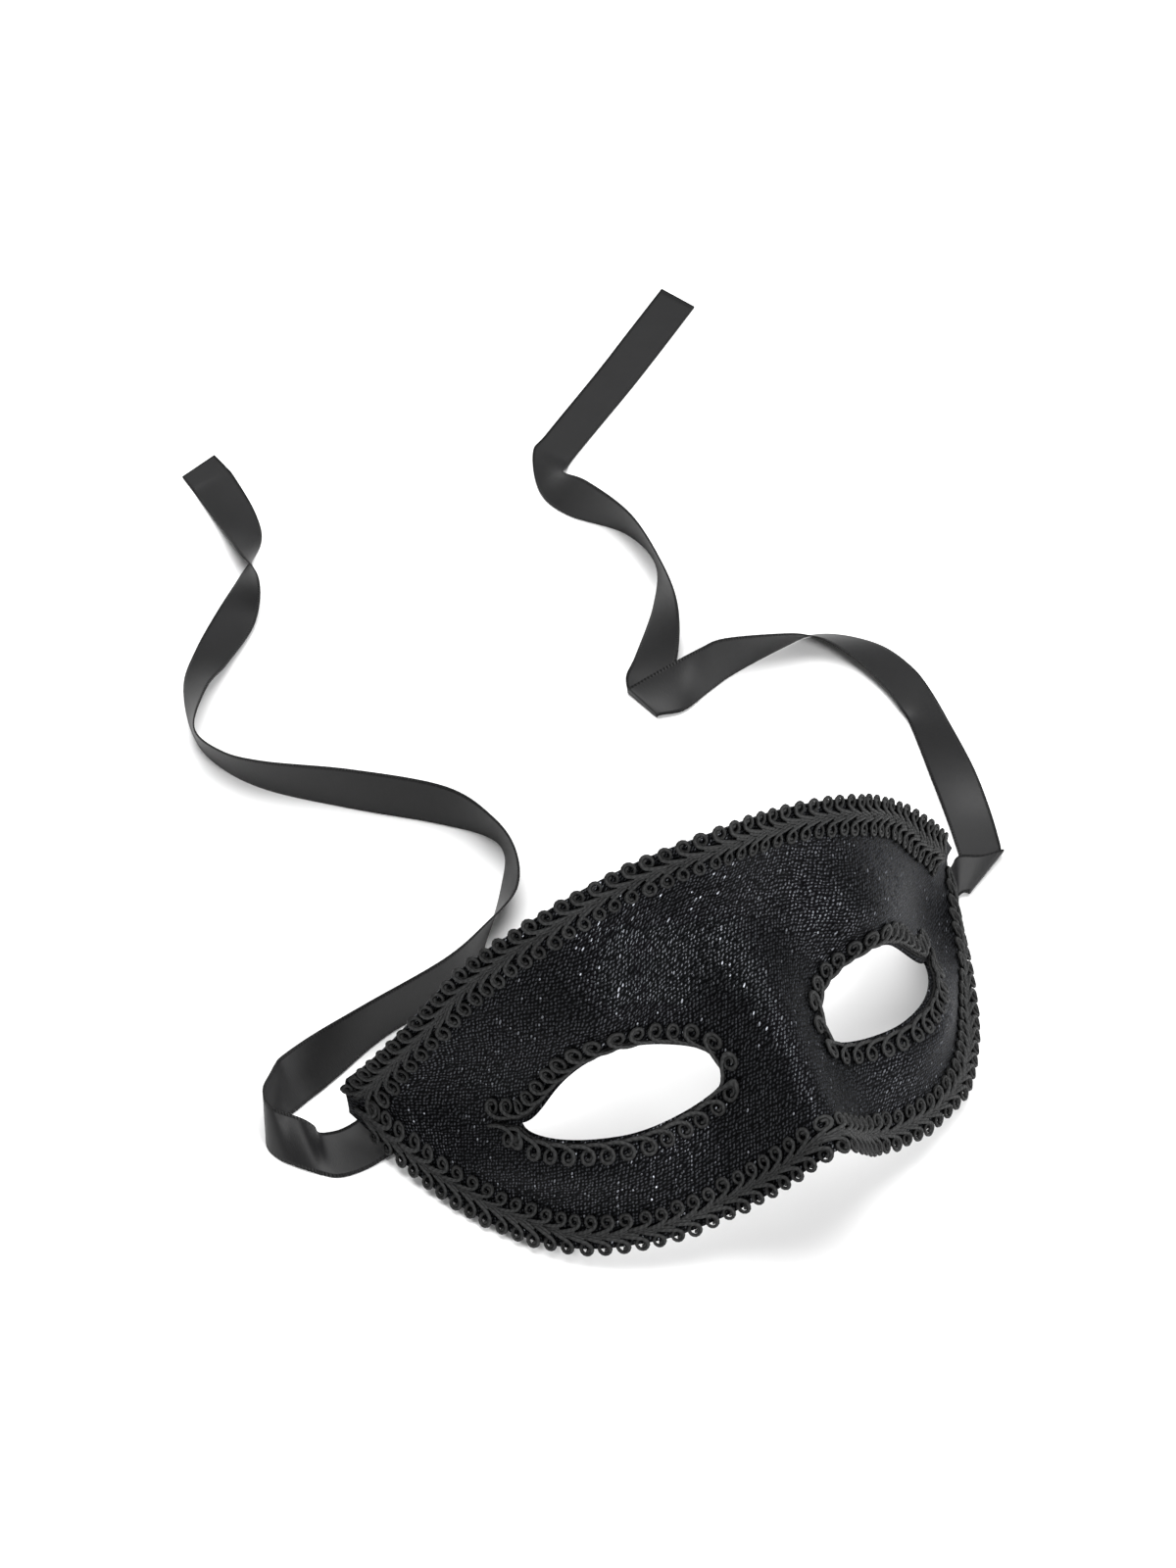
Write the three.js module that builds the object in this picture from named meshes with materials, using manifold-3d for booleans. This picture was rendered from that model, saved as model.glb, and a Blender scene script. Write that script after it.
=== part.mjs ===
// Half-face eye mask with ribbon ties, lying face up on a table.
// Millimetres, +Z up, the wearer's sides along X, the forehead towards +Y, the nose towards -Y.
import * as THREE from 'three';
import * as BufferGeometryUtils from 'three/addons/utils/BufferGeometryUtils.js';
import Module from 'manifold-3d';

const wasm = await Module();
wasm.setup();

// Driving dimensions
const HALF_WIDTH = 90;
const SHELL_THICKNESS = 2;
const FIT_GAP = 0.95;
const REST_LIFT = -0.2;
const FRAME_SHIFT_Y = 4.92;
const LOOP_PITCH = 4.55;
const EDGE_BRAID = { inward: 9.9, overhang: 0.3, thickness: 1.7, scallop: 0.9, chamfer: 0.3 };
const EYE_BRAID = { rim: 0.1, outward: 5.9, thickness: 1.7, scallop: 0.9, chamfer: 0.3 };
const EYE_TAIL = { reach: 5.9, rise: 0.012, share: 0.055, split: 0.006 };
const RIBBON = { thickness: 0.5, stepsPerRow: 2, lowest: 0.15 };
const SHELL_CELLS = { across: 56, high: 15 };
const STEPS_PER_LOOP = 3;
const FINE_STEPS = 1200;

// Half outline of the shell: distance from the middle, then Y and Z of the forehead edge and of the cheek edge
const STATIONS = [
  [0, 10.4, 92.1, -51.7, 13.3],
  [20, 15, 85.6, -40.5, 12.3],
  [40, 17.9, 77.5, -31.6, 5.8],
  [60, 24.6, 60.3, -19.2, 1.4],
  [76, 27.3, 41.5, 4.2, 1.6],
  [90, 37, 16.6, 41.9, 7.1],
];
const NOSE_ARCH = { height: 26.4, width: 13.9, power: 1.9 };

// Swells and hollows of the face: middle, share of the way up, spreads and height
const RELIEF = [
  { x: 35.5, t: 0.66, spreadX: 18.7, spreadT: 0.14, height: 9.0 },
  { x: 46.6, t: 0.20, spreadX: 24.6, spreadT: 0.19, height: 14.0 },
  { x: 13.4, t: 0.50, spreadX: 8.6, spreadT: 0.22, height: 0.3 },
  { x: 70.5, t: 0.54, spreadX: 12.7, spreadT: 0.31, height: -10.2 },
  { x: 0.0, t: 0.73, spreadX: 18.6, spreadT: 0.16, height: -8.6 },
  { x: 55.9, t: 0.15, spreadX: 22.2, spreadT: 0.10, height: -7.5 },
];
const HOLLOW = 6.5;

// Eye opening: an almond about a sloping axis, rounder at the nose and pointed at the temple
const EYE = { x: 35.6, halfLength: 21.6, axis: 0.394, slope: 0.0014, rise: 0.156, drop: 0.07 };

// Ribbon selvages by hand: X, Y, Z of one edge and of the other, from the mask to the cut end.
// At a crease two rows stand close together, one above the other.
const LEFT_RIBBON = [
  [-66, 19, 14, -70, 28, 16],
  [-73, 21, 8, -77, 31, 10.5],
  [-78, 23, 3.5, -82, 35, 5.5],
  [-81, 24, 1.2, -84.5, 37, 2.2],
  [-88, 23, 0.5, -88, 37, 1],
  [-93.5, 23, 0.4, -91.5, 37, 0.9],
  [-97, 24, 0.4, -95.5, 38, 1.4],
  [-99.5, 26, 0.4, -96.5, 39, 3.8],
  [-101.5, 28, 0.4, -99.5, 39.5, 8.1],
  [-104.5, 31.5, 0.4, -103, 41.3, 10.3],
  [-107, 35, 0.4, -105.5, 42.3, 12.3],
  [-108.5, 39.5, 0.4, -106.3, 45, 13],
  [-107.5, 43.5, 0.4, -105, 49, 12.8],
  [-104.5, 46.5, 0.4, -101.5, 53, 12],
  [-99, 47.5, 0.4, -99, 56, 11.1],
  [-93.5, 49.5, 0.4, -96.5, 57.5, 11.2],
  [-83.5, 53.5, 0.4, -87, 59.5, 12.3],
  [-67.5, 60, 0.4, -71, 61.5, 13.9],
  [-42.5, 66, 0.4, -47, 66.5, 13.5],
  [-27.5, 81, 0.4, -31.5, 74, 12],
  [-17.5, 94, 0.4, -18, 83.5, 9.8],
  [-11.5, 104.5, 0.4, -12.5, 95.5, 11],
  [-13, 113, 0.4, -13.5, 107.5, 13.2],
  [-24, 124.5, 0.4, -20, 123.5, 13.5],
  [-41.5, 139.5, 0.4, -40, 140.5, 14],
  [-60, 157.5, 0.4, -61, 155, 14],
  [-68.5, 173, 0.4, -69.5, 166, 12.5],
  [-70, 188, 0.4, -72, 179.5, 11],
  [-65, 207.5, 0.4, -61.5, 196.5, 8],
  [-56.5, 220, 0.4, -51, 207.5, 3.8],
  [-44.5, 233, 0.4, -36.5, 222, 2.2],
  [-31.5, 245.5, 0.4, -30, 234, 7.5],
  [-20.5, 256.5, 0.4, -30.5, 249, 7],
  [-16.5, 270, 0.4, -29.5, 266.5, 2.7],
  [-15.5, 289.5, 0.4, -29.5, 285.5, 0.4],
  [-16, 296, 0.4, -29.7, 291.5, 0.4],
  [-17, 303, 0.4, -30, 297.5, 0.4],
];
const RIGHT_RIBBON = [
  [70, 28, 16, 66, 19, 14],
  [77.5, 31.5, 11, 73, 21.5, 9],
  [85, 37.5, 6.2, 79.5, 25.5, 3.2],
  [92.5, 41.5, 4.6, 86.5, 29.5, 1.4],
  [97, 44.5, 4, 90, 33.5, 1.2],
  [102.5, 42, 3.9, 92, 34, 1.7],
  [108.3, 41.6, 3.4, 93.2, 33.6, 1.6],
  [109.5, 41.5, 3.2, 93.5, 33.5, 1.6],
  [109.8, 42.2, 1.3, 93.9, 34, 0.4],
  [110.1, 43.2, 1.1, 94.4, 35.3, 0.4],
  [111.5, 46, 0.7, 96.5, 40, 0.4],
  [115.5, 57, 1.2, 102.5, 57.5, 0.4],
  [118, 69.5, 5, 108.5, 77.5, 0.4],
  [121, 86.5, 6, 114, 96.5, 0.4],
  [126.5, 106.5, 1.5, 114.5, 103.5, 1.8],
  [127.5, 118.5, 0.4, 114.5, 113.5, 2.7],
  [124.5, 130, 0.4, 112, 125, 4.5],
  [117, 139, 0.4, 107, 132.5, 7.5],
  [108.5, 143.5, 0.4, 102, 135, 9.8],
  [99, 143, 0.4, 95, 136.5, 12.2],
  [80, 139.5, 0.4, 77.5, 141, 14],
  [69.5, 136, 0.4, 69.5, 141.5, 13.2],
  [59.5, 132, 0.8, 59, 143.5, 8.5],
  [52.5, 132.8, 1.4, 49.8, 145.7, 3.3],
  [51.5, 133, 1.4, 48.5, 146, 2.6],
  [51.4, 133.5, 0.4, 48.6, 146.4, 0.9],
  [52.2, 134.5, 0.4, 48.9, 147.2, 0.6],
  [58, 141, 1.2, 51.5, 153, 0.4],
  [66.5, 149.5, 5.3, 58, 159.5, 0.4],
  [75, 165.5, 8.5, 73, 176.5, 0.4],
  [79, 183, 10, 82.5, 193, 0.4],
  [79.5, 204, 13, 81, 210, 0.4],
  [75, 224, 13, 69.5, 225.5, 0.4],
  [73.5, 236.5, 8, 66.5, 239.5, 0.4],
  [79, 245.5, 1.5, 73, 258, 0.4],
  [86.5, 252, 0.7, 81.5, 265, 0.4],
  [117, 274, 0.4, 110, 286, 0.4],
  [139, 290.5, 0.4, 129.5, 301, 0.4],
  [156, 303.5, 0.4, 151, 317.5, 0.4],
];

const lerp = THREE.MathUtils.lerp;

// Smooth curve of one column through the stations, level at the middle of the mask
function station(column, x) {
  const rows = STATIONS;
  const d = Math.min(Math.abs(x), HALF_WIDTH);
  const last = rows.length - 1;
  const i = Math.min(rows.findLastIndex((row) => row[0] <= d), last - 1);
  const before = i === 0 ? [-rows[1][0], ...rows[1].slice(1)] : rows[i - 1];
  const after = i + 2 > last ? rows[last].map((v, k) => 2 * v - rows[last - 1][k]) : rows[i + 2];
  const [p, q] = [rows[i], rows[i + 1]];
  const h = q[0] - p[0];
  const f = (d - p[0]) / h;
  const slopeP = (q[column] - before[column]) / (q[0] - before[0]);
  const slopeQ = (after[column] - p[column]) / (after[0] - p[0]);
  return (2 * f ** 3 - 3 * f ** 2 + 1) * p[column] + (f ** 3 - 2 * f ** 2 + f) * h * slopeP
    + (3 * f ** 2 - 2 * f ** 3) * q[column] + (f ** 3 - f ** 2) * h * slopeQ;
}

// Outer face of the shell: x across, t = 0 at the cheek edge and 1 at the forehead edge
function face(x, t) {
  const arch = NOSE_ARCH.height * Math.exp(-((Math.abs(x) / NOSE_ARCH.width) ** NOSE_ARCH.power));
  const lowY = station(3, x);
  const lowZ = station(4, x) + arch;
  const rise = new THREE.Vector2(station(1, x) - lowY, station(2, x) - lowZ);
  const length = rise.length();
  let swell = -HOLLOW * 4 * t * (1 - t) * (1 - (x / HALF_WIDTH) ** 2);
  for (const r of RELIEF) {
    swell += r.height * Math.exp(-(((Math.abs(x) - r.x) / r.spreadX) ** 2) - ((t - r.t) / r.spreadT) ** 2);
  }
  return new THREE.Vector3(
    x,
    lowY + t * rise.x - (swell * rise.y) / length + FRAME_SHIFT_Y,
    lowZ + t * rise.y + (swell * rise.x) / length + REST_LIFT,
  );
}

function faceAxes(x, t) {
  const e = 0.05;
  const alongX = face(x + e, t).sub(face(x - e, t)).divideScalar(2 * e);
  const alongT = face(x, t + e / 10).sub(face(x, t - e / 10)).divideScalar(e / 5);
  return { alongX, alongT, normal: alongX.clone().cross(alongT).normalize() };
}

function lifted(x, t, lift) {
  return face(x, t).addScaledVector(faceAxes(x, t).normal, lift);
}

// Walk a distance over the face from a point of it, square to a heading
function sideways(x, t, heading, distance) {
  const walks = 3;
  let [px, pt] = [x, t];
  for (let i = 0; i < walks; i++) {
    const { alongX, alongT, normal } = faceAxes(px, pt);
    const step = normal.clone().cross(heading).normalize().multiplyScalar(distance / walks);
    const [a, b, c] = [alongX.dot(alongX), alongX.dot(alongT), alongT.dot(alongT)];
    const [u, v] = [alongX.dot(step), alongT.dot(step)];
    const det = a * c - b * b;
    px += (u * c - v * b) / det;
    pt += (v * a - u * b) / det;
  }
  return [px, pt];
}

// Closed solid with outward faces from a three.js geometry
function solid(geometry) {
  const g = new THREE.BufferGeometry();
  g.setAttribute('position', geometry.getAttribute('position').clone());
  if (geometry.index) g.setIndex(geometry.index.clone());
  const merged = BufferGeometryUtils.mergeVertices(g, 1e-5);
  const mesh = new wasm.Mesh({
    numProp: 3,
    vertProperties: Float32Array.from(merged.getAttribute('position').array),
    triVerts: Uint32Array.from(merged.index.array),
  });
  return new wasm.Manifold(mesh);
}

function toGeometry(manifold) {
  const mesh = manifold.getMesh();
  const g = new THREE.BufferGeometry();
  g.setAttribute('position', new THREE.BufferAttribute(Float32Array.from(mesh.vertProperties), 3));
  g.setIndex(Array.from(mesh.triVerts));
  return g;
}

function moveVertices(geometry, place) {
  const p = geometry.getAttribute('position');
  for (let i = 0; i < p.count; i++) {
    const v = place(p.getX(i), p.getY(i), p.getZ(i));
    p.setXYZ(i, v.x, v.y, v.z);
  }
  return geometry;
}

// Turn the faces of a closed geometry outward
function outward(geometry) {
  const p = geometry.getAttribute('position');
  const idx = geometry.index.array;
  const [a, b, c] = [new THREE.Vector3(), new THREE.Vector3(), new THREE.Vector3()];
  let volume = 0;
  for (let i = 0; i < idx.length; i += 3) {
    a.fromBufferAttribute(p, idx[i]);
    b.fromBufferAttribute(p, idx[i + 1]);
    c.fromBufferAttribute(p, idx[i + 2]);
    volume += a.dot(b.cross(c));
  }
  if (volume < 0) {
    for (let i = 0; i < idx.length; i += 3) [idx[i], idx[i + 1]] = [idx[i + 1], idx[i]];
  }
  return geometry;
}

// Strip of rectangular section: place() gets the share along, the side 0 or 1 and the height 0 or 1.
// Its top and bottom are split along the same diagonals, which keeps them apart where it twists.
function strip(steps, place) {
  const corners = [[0, 0], [1, 0], [1, 1], [0, 1]];
  const points = [];
  for (let i = 0; i <= steps; i++) {
    for (const [side, up] of corners) points.push(place(i / steps, side, up));
  }
  const index = [];
  const quad = (a, b, c, d) => index.push(a, b, c, a, c, d);
  quad(0, 3, 2, 1);
  for (let s = 0; s < 4 * steps; s += 4) {
    const n = s + 4;
    quad(s, s + 1, n + 1, n);
    quad(s + 1, s + 2, n + 2, n + 1);
    quad(s + 3, n + 3, n + 2, s + 2);
    quad(s + 3, s, n, n + 3);
  }
  const end = 4 * steps;
  quad(end, end + 1, end + 2, end + 3);
  return outward(new THREE.BufferGeometry().setFromPoints(points).setIndex(index));
}

// Shares of a path at equal distances, each with its point, heading and running length
function evenly(path, steps) {
  const fine = FINE_STEPS;
  const points = Array.from({ length: fine + 1 }, (_, i) => face(...path(i / fine)));
  const run = [0];
  for (let i = 1; i <= fine; i++) run.push(run[i - 1] + points[i].distanceTo(points[i - 1]));
  const stops = [];
  let k = 0;
  for (let i = 0; i <= steps; i++) {
    const want = (run[fine] * i) / steps;
    while (k < fine - 1 && run[k + 1] < want) k++;
    const share = (k + (want - run[k]) / (run[k + 1] - run[k])) / fine;
    const heading = points[k + 1].clone().sub(points[k]).normalize();
    stops.push({ at: path(share), heading });
  }
  return { stops, length: run[fine] };
}

// Flat braid over the face, scalloped by its loops on the sides that say so
function braid(path, sideA, sideB, spec) {
  const loops = Math.round(evenly(path, 1).length / LOOP_PITCH);
  const steps = STEPS_PER_LOOP * loops;
  const { stops } = evenly(path, steps);
  return strip(steps, (along, side, up) => {
    const i = Math.round(along * steps);
    const { at, heading } = stops[i];
    const edge = side < 0.5 ? sideA : sideB;
    const notch = edge.scalloped && i % STEPS_PER_LOOP === 0 ? spec.scallop : 0;
    const distance = edge.distance - Math.sign(edge.distance) * (notch + up * spec.chamfer);
    const [x, t] = sideways(...at, heading, distance);
    return lifted(x, t, FIT_GAP + up * spec.thickness);
  });
}

// Cells of the shell crowd towards the nose, where it bends most
const CROWD = 1.2;
const acrossToX = (s) => (HALF_WIDTH * Math.sinh(CROWD * s)) / Math.sinh(CROWD);
const xToAcross = (x) => Math.asinh((x / HALF_WIDTH) * Math.sinh(CROWD)) / CROWD;

function eyeRim(angle) {
  const c = Math.cos(angle);
  const s = Math.abs(Math.sin(angle));
  const axis = EYE.axis + EYE.slope * EYE.halfLength * c;
  const upper = Math.sin(angle) >= 0;
  const t = upper ? axis + EYE.rise * s ** (2 + 1.2 * c) : axis - EYE.drop * s ** 0.7;
  return [EYE.x + EYE.halfLength * c, t];
}

function maskShell() {
  const span = 100;
  const { across, high } = SHELL_CELLS;
  const slab = new THREE.BoxGeometry(2 * span, span, SHELL_THICKNESS, across, high, 1);
  slab.translate(0, span / 2, -SHELL_THICKNESS / 2);
  let shell = solid(slab);
  for (const side of [-1, 1]) {
    const outline = [];
    const points = 56;
    for (let i = 0; i < points; i++) {
      const [x, t] = eyeRim((2 * Math.PI * i) / points);
      outline.push(new THREE.Vector2(side * span * xToAcross(x), span * t));
    }
    const depth = 3 * SHELL_THICKNESS;
    const hole = new THREE.ExtrudeGeometry(new THREE.Shape(outline), { depth, bevelEnabled: false });
    hole.translate(0, 0, -2 * SHELL_THICKNESS);
    shell = shell.subtract(solid(hole));
  }
  return moveVertices(toGeometry(shell), (s, t, w) => lifted(acrossToX(s / span), t / span, w));
}

// Everything lies on the table, so what reaches below it is cut off flat
function standing(geometry) {
  const size = 1000;
  const below = new THREE.BoxGeometry(size, size, size);
  below.translate(0, 0, -size / 2);
  return toGeometry(solid(geometry).subtract(solid(below)));
}

const upperPath = (share) => [lerp(-HALF_WIDTH, HALF_WIDTH, share), 1];
const LOWER_END = 81;
const lowerPath = (share) => [lerp(-LOWER_END, LOWER_END, share), 0];

function edgeBraid(path, inwardSign) {
  const inner = { distance: inwardSign * EDGE_BRAID.inward, scalloped: true };
  const outer = { distance: -inwardSign * EDGE_BRAID.overhang, scalloped: true };
  return braid(path, inner, outer, EDGE_BRAID);
}

// From the tail at the temple, over the top to the nose, and back below to the tail
function eyePath(share) {
  const { reach, rise, split } = EYE_TAIL;
  const corner = eyeRim(0);
  const fromEnd = Math.min(share, 1 - share);
  if (fromEnd < EYE_TAIL.share) {
    const f = fromEnd / EYE_TAIL.share;
    const t = corner[1] + lerp(rise, 0, f);
    return [corner[0] + lerp(reach, 0, f), share < 0.5 ? t + split : t - split];
  }
  const angle = (2 * Math.PI * (share - EYE_TAIL.share)) / (1 - 2 * EYE_TAIL.share);
  const [x, t] = eyeRim(angle);
  return [x, t + split * Math.cos(angle / 2)];
}

function eyeBraid(side) {
  const rim = { distance: EYE_BRAID.rim, scalloped: false };
  const outer = { distance: -EYE_BRAID.outward, scalloped: true };
  const geometry = braid(eyePath, rim, outer, EYE_BRAID);
  geometry.scale(side, 1, 1);
  return outward(geometry);
}

function ribbon(rows) {
  const shift = new THREE.Vector3(0, FRAME_SHIFT_Y, 0);
  const edge = (k) => new THREE.CatmullRomCurve3(
    rows.map((r) => new THREE.Vector3(r[k], r[k + 1], r[k + 2]).add(shift)), false, 'catmullrom', 0.5);
  const [a, b] = [edge(0), edge(3)];
  const steps = RIBBON.stepsPerRow * (rows.length - 1);
  const stops = Array.from({ length: steps + 1 }, (_, i) => [a.getPoint(i / steps), b.getPoint(i / steps)]);
  const faceNormal = (i) => {
    const [[p, q], [nextP, nextQ]] = [stops[i], stops[i + 1]];
    return nextQ.clone().sub(p).cross(nextP.clone().sub(q)).normalize();
  };
  return strip(steps, (along, side, up) => {
    const i = Math.round(along * steps);
    const normal = faceNormal(Math.max(i - 1, 0)).add(faceNormal(Math.min(i, steps - 1))).normalize();
    const [p, q] = stops[i];
    const v = p.clone().lerp(q, side).addScaledVector(normal, (up - 0.5) * RIBBON.thickness);
    v.z = Math.max(v.z, RIBBON.lowest);
    return v;
  });
}

// Materials and the finished group
const fabric = new THREE.MeshStandardMaterial({ color: 0x17171a, roughness: 0.55, metalness: 0.15 });
const cord = new THREE.MeshStandardMaterial({ color: 0x0d0d0e, roughness: 0.7, metalness: 0 });
const satin = new THREE.MeshStandardMaterial({ color: 0x1c1c1f, roughness: 0.38, metalness: 0 });

const mask = new THREE.Group();
function addPiece(name, geometry, material) {
  const mesh = new THREE.Mesh(geometry, material.clone());
  mesh.name = name;
  mesh.geometry.computeVertexNormals();
  mask.add(mesh);
}

addPiece('mask_shell', standing(maskShell()), fabric);
addPiece('upper_edge_braid', standing(edgeBraid(upperPath, -1)), cord);
addPiece('lower_edge_braid', standing(edgeBraid(lowerPath, 1)), cord);
addPiece('left_eye_braid', eyeBraid(-1), cord);
addPiece('right_eye_braid', eyeBraid(1), cord);
addPiece('left_ribbon', ribbon(LEFT_RIBBON), satin);
addPiece('right_ribbon', ribbon(RIGHT_RIBBON), satin);

export default mask;
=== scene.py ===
"""Looks of the half-face eye mask with ribbon ties, lying face up on a pale floor."""

import bpy
import numpy as np
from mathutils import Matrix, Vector
from mathutils.geometry import delaunay_2d_cdt


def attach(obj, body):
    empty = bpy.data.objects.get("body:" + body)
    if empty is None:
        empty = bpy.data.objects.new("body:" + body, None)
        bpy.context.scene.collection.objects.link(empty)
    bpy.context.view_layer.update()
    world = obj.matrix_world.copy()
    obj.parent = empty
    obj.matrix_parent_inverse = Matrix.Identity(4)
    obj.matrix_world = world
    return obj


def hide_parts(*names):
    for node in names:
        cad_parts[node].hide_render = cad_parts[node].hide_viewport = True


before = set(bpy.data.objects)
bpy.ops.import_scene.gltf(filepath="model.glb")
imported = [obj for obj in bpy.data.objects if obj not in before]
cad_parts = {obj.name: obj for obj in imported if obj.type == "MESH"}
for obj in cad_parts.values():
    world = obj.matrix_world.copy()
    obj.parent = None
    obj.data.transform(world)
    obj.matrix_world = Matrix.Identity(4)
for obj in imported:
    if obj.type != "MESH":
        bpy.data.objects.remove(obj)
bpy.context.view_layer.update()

MM = 0.001
WHOLE_TURN = 2 * np.pi

# Driving sizes of the mask in millimetres, as in its solids
HALF_WIDTH = 90
SHELL_THICKNESS = 2
REST_LIFT = -0.2
FRAME_SHIFT_Y = 4.92
LOOP_PITCH = 4.55

# Half outline of the shell, fitted to the photo's edges: distance from the middle, then Y and Z of the
# forehead edge and of the cheek edge
STATIONS = np.array([
    [0, 10.4, 92.1, -51.7, 13.3],
    [20, 15, 85.6, -40.5, 12.3],
    [40, 17.9, 77.5, -31.6, 5.8],
    [60, 24.6, 60.3, -19.2, 1.4],
    [76, 27.3, 41.5, 4.2, 1.6],
    [90, 37, 16.6, 41.9, 7.1],
])
NOSE_ARCH = {"height": 26.4, "width": 13.9, "power": 1.9}

# Swells and hollows of the face, from the same fit: middle, share of the way up, spreads and height
RELIEF = [
    {"x": 35.5, "t": 0.66, "spread_x": 18.7, "spread_t": 0.14, "height": 9.0},
    {"x": 46.6, "t": 0.2, "spread_x": 24.6, "spread_t": 0.19, "height": 14.0},
    {"x": 13.4, "t": 0.5, "spread_x": 8.6, "spread_t": 0.22, "height": 0.3},
    {"x": 70.5, "t": 0.54, "spread_x": 12.7, "spread_t": 0.31, "height": -10.2},
    {"x": 0, "t": 0.73, "spread_x": 18.6, "spread_t": 0.16, "height": -8.6},
    {"x": 55.9, "t": 0.15, "spread_x": 22.2, "spread_t": 0.1, "height": -7.5},
]
HOLLOW = 6.5

# Eye opening, from the same fit: an almond about a sloping axis, round at the nose, pointed at the temple
EYE = {
    "x": 35.6, "half_length": 21.6, "axis": 0.394, "slope": 0.0014, "rise": 0.156, "drop": 0.07,
    "arch_power": 2, "arch_change": 1.2, "drop_power": 0.7,
}
EYE_TAIL = {"reach": 4.2, "rise": 0.012, "share": 0.055, "split": 0.013, "closes_by": 0.6}

# Wall of the shell, thin by its edges, and its rounded edge in shares of the wall: outward, and down
EDGE_WALL = 0.8
FEATHERED = 5
SHELL_INSET = 1.2
TIP_INSET = 2.2
SHELL_RIM = [(0.1, 0.11), (0.15, 0.35), (0.15, 0.65), (0.1, 0.89)]

# Flat pattern of the shell: its height in the units of its width, its points and their room to an outline
PATTERN = {"height": 75, "rows": 62, "step": 1.35, "first": 0.6, "stagger": 0.5, "clear": 0.7, "merge": 1e-5}
OUTLINE_POINTS = {"edge": 181, "tip": 7, "eye": 97}

# Ribbon selvages, as in the solids: X, Y, Z of one edge and of the other, from the mask to the cut end.
# Rows that show were given on the photo and cast through its camera. At a crease, two rows stand one
# above the other.
LEFT_RIBBON = np.array([
    [-66, 19, 14, -70, 28, 16],
    [-73, 21, 8, -77, 31, 10.5],
    [-78, 23, 3.5, -82, 35, 5.5],
    [-81, 24, 1.2, -84.5, 37, 2.2],
    [-88, 23, 0.5, -88, 37, 1],
    [-93.5, 23, 0.4, -91.5, 37, 0.9],
    [-97, 24, 0.4, -95.5, 38, 1.4],
    [-99.5, 26, 0.4, -96.5, 39, 3.8],
    [-101.5, 28, 0.4, -99.5, 39.5, 8.1],
    [-104.5, 31.5, 0.4, -103, 41.3, 10.3],
    [-107, 35, 0.4, -105.5, 42.3, 12.3],
    [-108.5, 39.5, 0.4, -106.3, 45, 13],
    [-107.5, 43.5, 0.4, -105, 49, 12.8],
    [-104.5, 46.5, 0.4, -101.5, 53, 12],
    [-99, 47.5, 0.4, -99, 56, 11.1],
    [-93.5, 49.5, 0.4, -96.5, 57.5, 11.2],
    [-83.5, 53.5, 0.4, -87, 59.5, 12.3],
    [-67.5, 60, 0.4, -71, 61.5, 13.9],
    [-42.5, 66, 0.4, -47, 66.5, 13.5],
    [-27.5, 81, 0.4, -31.5, 74, 12],
    [-17.5, 94, 0.4, -18, 83.5, 9.8],
    [-11.5, 104.5, 0.4, -12.5, 95.5, 11],
    [-13, 113, 0.4, -13.5, 107.5, 13.2],
    [-24, 124.5, 0.4, -20, 123.5, 13.5],
    [-41.5, 139.5, 0.4, -40, 140.5, 14],
    [-60, 157.5, 0.4, -61, 155, 14],
    [-68.5, 173, 0.4, -69.5, 166, 12.5],
    [-70, 188, 0.4, -72, 179.5, 11],
    [-65, 207.5, 0.4, -61.5, 196.5, 8],
    [-56.5, 220, 0.4, -51, 207.5, 3.8],
    [-44.5, 233, 0.4, -36.5, 222, 2.2],
    [-31.5, 245.5, 0.4, -30, 234, 7.5],
    [-20.5, 256.5, 0.4, -30.5, 249, 7],
    [-16.5, 270, 0.4, -29.5, 266.5, 2.7],
    [-15.5, 289.5, 0.4, -29.5, 285.5, 0.4],
    [-16, 296, 0.4, -29.7, 291.5, 0.4],
    [-17, 303, 0.4, -30, 297.5, 0.4],
])
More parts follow.
